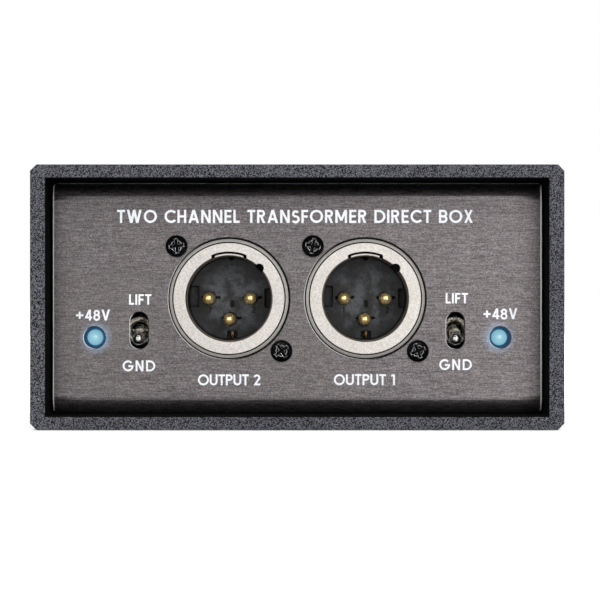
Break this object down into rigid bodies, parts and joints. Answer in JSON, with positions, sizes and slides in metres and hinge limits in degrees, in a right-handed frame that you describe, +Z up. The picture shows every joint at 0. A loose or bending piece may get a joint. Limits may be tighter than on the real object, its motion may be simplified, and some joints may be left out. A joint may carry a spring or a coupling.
{
  "type": "direct injection box",
  "caption": "Desktop direct injection box: chamfered metal sleeve over a recessed brushed panel with XLR outputs, ground-lift toggles and lit lamps; jacks on the other end.",
  "frame": {"origin": "middle of the underside, on the surface that the box stands on", "axes": "+Z up; -Y out of the output panel (the side with the XLR connectors); +Y out of the input panel; +X to the right of someone who faces the output panel, where channel 1 is"},
  "size_m": [0.1, 0.146, 0.0497],
  "materials": {
    "powder_coat": "fine textured powder coat",
    "anodised_panel": "horizontally brushed, dark anodised",
    "nickel": "satin nickel plate",
    "insert_plastic": "glass-filled moulded plastic",
    "gold_contact": "polished gold plate",
    "black_screw": "black oxide",
    "zinc_steel": "bright zinc plate",
    "lever_chrome": "polished",
    "bushing_metal": "dull nickel over brass",
    "switch_plastic": "moulded phenolic",
    "contact_copper": "bare spring copper alloy",
    "tinned_lead": "tinned wire",
    "lamp_blue": "clear blue-white epoxy, lit",
    "jack_plastic": "moulded nylon",
    "jack_nickel": "turned, nickel plated",
    "board_green": "solder mask over glass laminate",
    "lamination_steel": "varnished laminations",
    "bobbin_plastic": "moulded nylon",
    "winding_tape": "polyester tape over enamelled wire",
    "cap_sleeve": "shrunk vinyl sleeve",
    "film_red": "potted box",
    "resistor_blue": "lacquer over ceramic",
    "transistor_black": "moulded epoxy"
  },
  "bodies": {
    "enclosure": {"outer_sleeve": "powder_coat", "inner_chassis": "anodised_panel", "sleeve_screws": "black_screw", "clinch_nuts": "zinc_steel", "board_standoffs": "zinc_steel", "board_screws": "zinc_steel", "circuit_board": "board_green", "output_1_shell": "nickel", "output_1_insert": "insert_plastic", "output_1_pins": "gold_contact", "output_1_ground_spring": "gold_contact", "output_2_shell": "nickel", "output_2_insert": "insert_plastic", "output_2_pins": "gold_contact", "output_2_ground_spring": "gold_contact", "output_screws": "black_screw", "lift_1_case": "switch_plastic", "lift_1_frame": "bushing_metal", "lift_2_case": "switch_plastic", "lift_2_frame": "bushing_metal", "pad_1_case": "switch_plastic", "pad_1_frame": "bushing_metal", "pad_2_case": "switch_plastic", "pad_2_frame": "bushing_metal", "switch_terminals": "tinned_lead", "lamp_1_lens": "lamp_blue", "lamp_2_lens": "lamp_blue", "lamp_leads": "tinned_lead", "input_1_body": "jack_plastic", "input_1_bushing": "jack_nickel", "input_1_contacts": "contact_copper", "thru_1_body": "jack_plastic", "thru_1_bushing": "jack_nickel", "thru_1_contacts": "contact_copper", "input_2_body": "jack_plastic", "input_2_bushing": "jack_nickel", "input_2_contacts": "contact_copper", "thru_2_body": "jack_plastic", "thru_2_bushing": "jack_nickel", "thru_2_contacts": "contact_copper", "jack_washers": "jack_nickel", "jack_nuts": "jack_nickel", "transformer_cores": "lamination_steel", "transformer_bobbins": "bobbin_plastic", "transformer_windings": "winding_tape", "transformer_pins": "tinned_lead", "electrolytic_caps": "cap_sleeve", "film_caps": "film_red", "resistors": "resistor_blue", "transistors": "transistor_black"},
    "lift_1_lever": {"lift_1_lever": "lever_chrome"},
    "lift_1_rocker": {"lift_1_rocker": "contact_copper"},
    "lift_2_lever": {"lift_2_lever": "lever_chrome"},
    "lift_2_rocker": {"lift_2_rocker": "contact_copper"},
    "pad_1_lever": {"pad_1_lever": "lever_chrome"},
    "pad_1_rocker": {"pad_1_rocker": "contact_copper"},
    "pad_2_lever": {"pad_2_lever": "lever_chrome"},
    "pad_2_rocker": {"pad_2_rocker": "contact_copper"}
  },
  "joints": [
    {"name": "lift_1_throw", "type": "hinge", "parent": "enclosure", "child": "lift_1_lever", "pos_m": [0.03015, -0.055, 0.0185], "axis": [-1, 0, 0], "range_deg": [0, 25]},
    {"name": "lift_1_contact", "type": "hinge", "parent": "enclosure", "child": "lift_1_rocker", "pos_m": [0.03015, -0.0493, 0.0185], "axis": [1, 0, 0], "range_deg": [0, 16]},
    {"name": "lift_2_throw", "type": "hinge", "parent": "enclosure", "child": "lift_2_lever", "pos_m": [-0.03015, -0.055, 0.0185], "axis": [-1, 0, 0], "range_deg": [0, 25]},
    {"name": "lift_2_contact", "type": "hinge", "parent": "enclosure", "child": "lift_2_rocker", "pos_m": [-0.03015, -0.0493, 0.0185], "axis": [1, 0, 0], "range_deg": [0, 16]},
    {"name": "pad_1_throw", "type": "hinge", "parent": "enclosure", "child": "pad_1_lever", "pos_m": [0.041, 0.055, 0.021], "axis": [1, 0, 0], "range_deg": [0, 25]},
    {"name": "pad_1_contact", "type": "hinge", "parent": "enclosure", "child": "pad_1_rocker", "pos_m": [0.041, 0.0493, 0.021], "axis": [-1, 0, 0], "range_deg": [0, 16]},
    {"name": "pad_2_throw", "type": "hinge", "parent": "enclosure", "child": "pad_2_lever", "pos_m": [-0.041, 0.055, 0.021], "axis": [1, 0, 0], "range_deg": [0, 25]},
    {"name": "pad_2_contact", "type": "hinge", "parent": "enclosure", "child": "pad_2_rocker", "pos_m": [-0.041, 0.0493, 0.021], "axis": [-1, 0, 0], "range_deg": [0, 16]}
  ],
  "couplings": [
    {"joint": "lift_1_contact", "follows": "lift_1_throw", "ratio": 0.64},
    {"joint": "lift_2_contact", "follows": "lift_2_throw", "ratio": 0.64},
    {"joint": "pad_1_contact", "follows": "pad_1_throw", "ratio": 0.64},
    {"joint": "pad_2_contact", "follows": "pad_2_throw", "ratio": 0.64}
  ]
}
